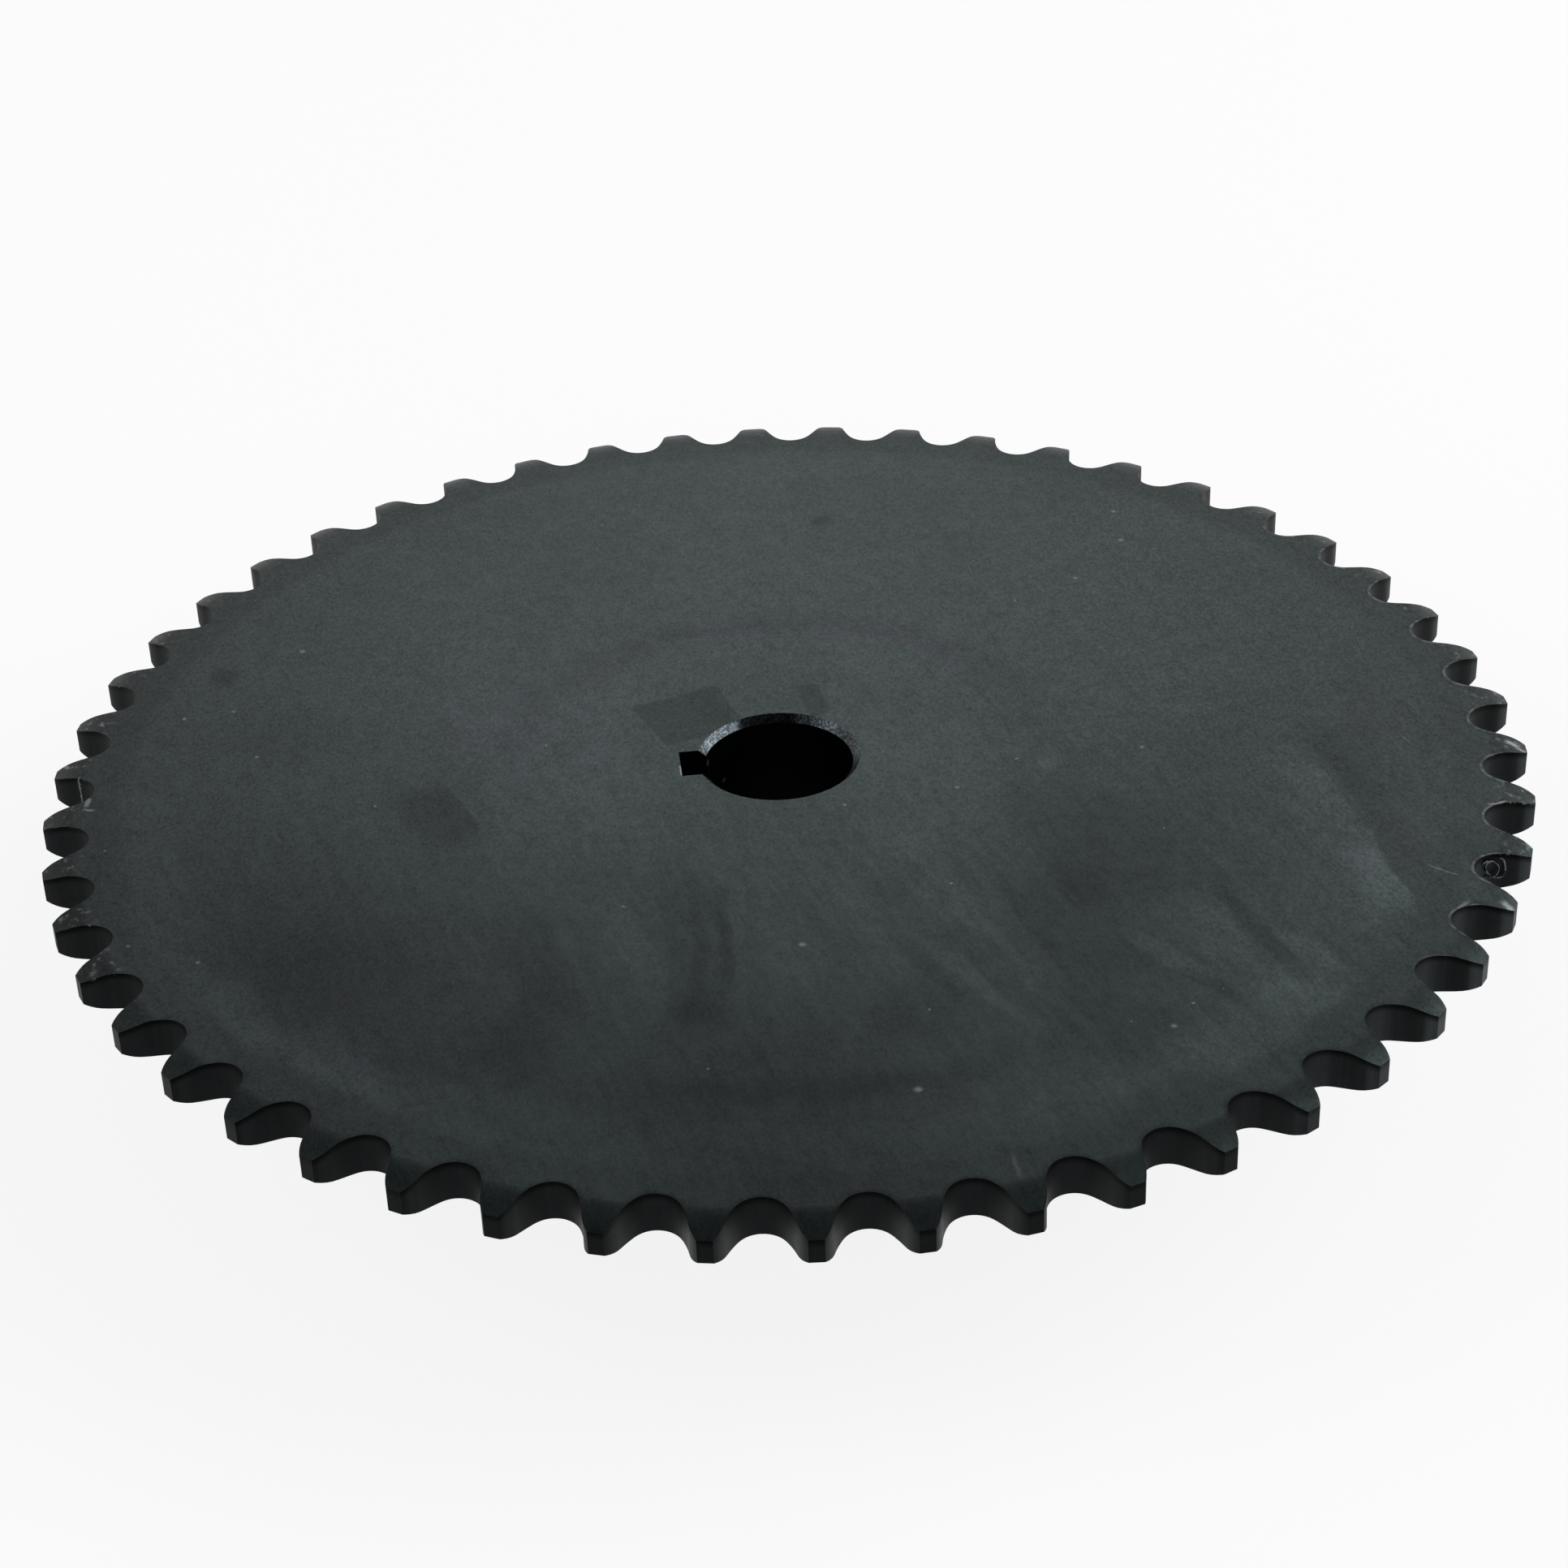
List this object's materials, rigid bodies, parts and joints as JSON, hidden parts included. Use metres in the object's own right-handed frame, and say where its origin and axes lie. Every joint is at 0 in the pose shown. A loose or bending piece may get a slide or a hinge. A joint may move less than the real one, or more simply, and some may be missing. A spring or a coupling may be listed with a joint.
{
  "type": "chain sprocket",
  "caption": "Flat toothed plate for a small roller chain, with a round hub on one side, bored and keyed for a shaft and locked to it by set screws.",
  "frame": {"origin": "centre of the bore in the hub's end face, which the sprocket stands on", "axes": "+Z along the bore, from the hub's end face towards the toothed plate's flat outer face; -X from the bore through the keyway and a tooth; +Y completes a right-handed frame"},
  "size_m": [0.1568, 0.1564, 0.0254],
  "materials": {
    "blackened_steel": "black oxide over machined steel, dark greenish grey, satin",
    "screw_steel": "black oxide alloy steel, satin"
  },
  "bodies": {
    "root": {"sprocket": "blackened_steel", "keyway_set_screw": "screw_steel", "side_set_screw": "screw_steel"}
  },
  "joints": []
}
